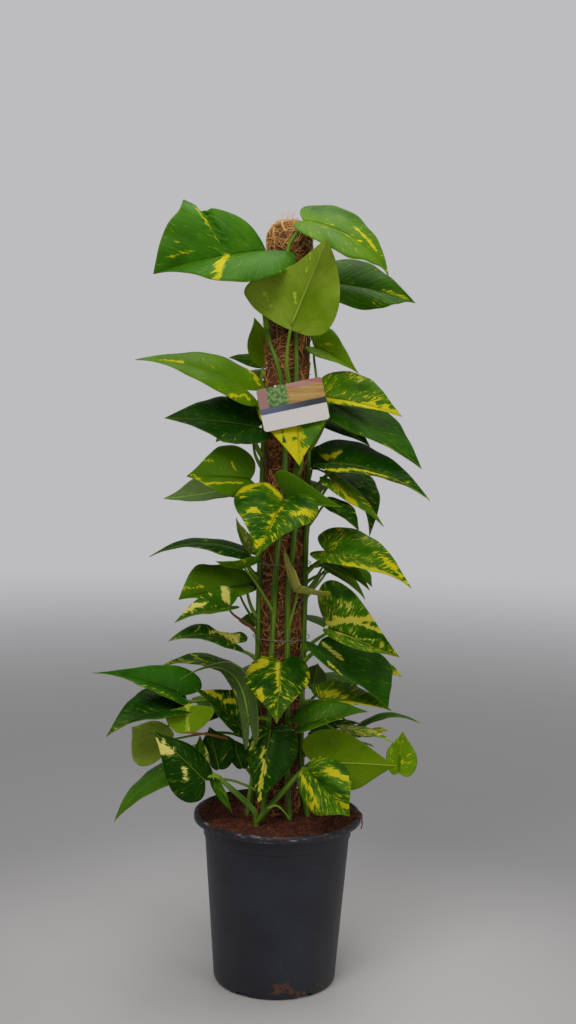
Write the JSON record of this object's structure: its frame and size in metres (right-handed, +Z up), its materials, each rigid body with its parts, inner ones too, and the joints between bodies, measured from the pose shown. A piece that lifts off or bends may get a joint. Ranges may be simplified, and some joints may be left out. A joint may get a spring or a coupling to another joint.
{
  "type": "potted climbing houseplant",
  "caption": "Golden pothos climbing a coir pole in a round tapered nursery pot, with heart-shaped leaves on stems tied round the pole.",
  "frame": {"origin": "centre of the pot's underside", "axes": "+Z up along the pole, -Y towards the plant's front, +X to the right seen from the front"},
  "size_m": [0.4213, 0.3307, 1.0105],
  "materials": {
    "pot": "moulded, slightly satin",
    "soil": "crumbly, matte",
    "stake": "sawn",
    "coir": "coarse fibre",
    "tie": "thin thread",
    "card": "printed, satin",
    "leaf": "waxy, variegated"
  },
  "bodies": {
    "root": {"pot": "pot", "soil": "soil", "stake": "stake", "coir_sleeve": "coir", "plant_card": "card", "tie_1": "tie", "tie_2": "tie", "tie_3": "tie", "tie_4": "tie", "tie_5": "tie", "vine_left": "leaf", "vine_front_left": "leaf", "vine_front_right": "leaf", "vine_right": "leaf", "vine_back_right": "leaf", "vine_back": "leaf", "vine_back_left": "leaf", "vine_low": "leaf"}
  },
  "joints": []
}
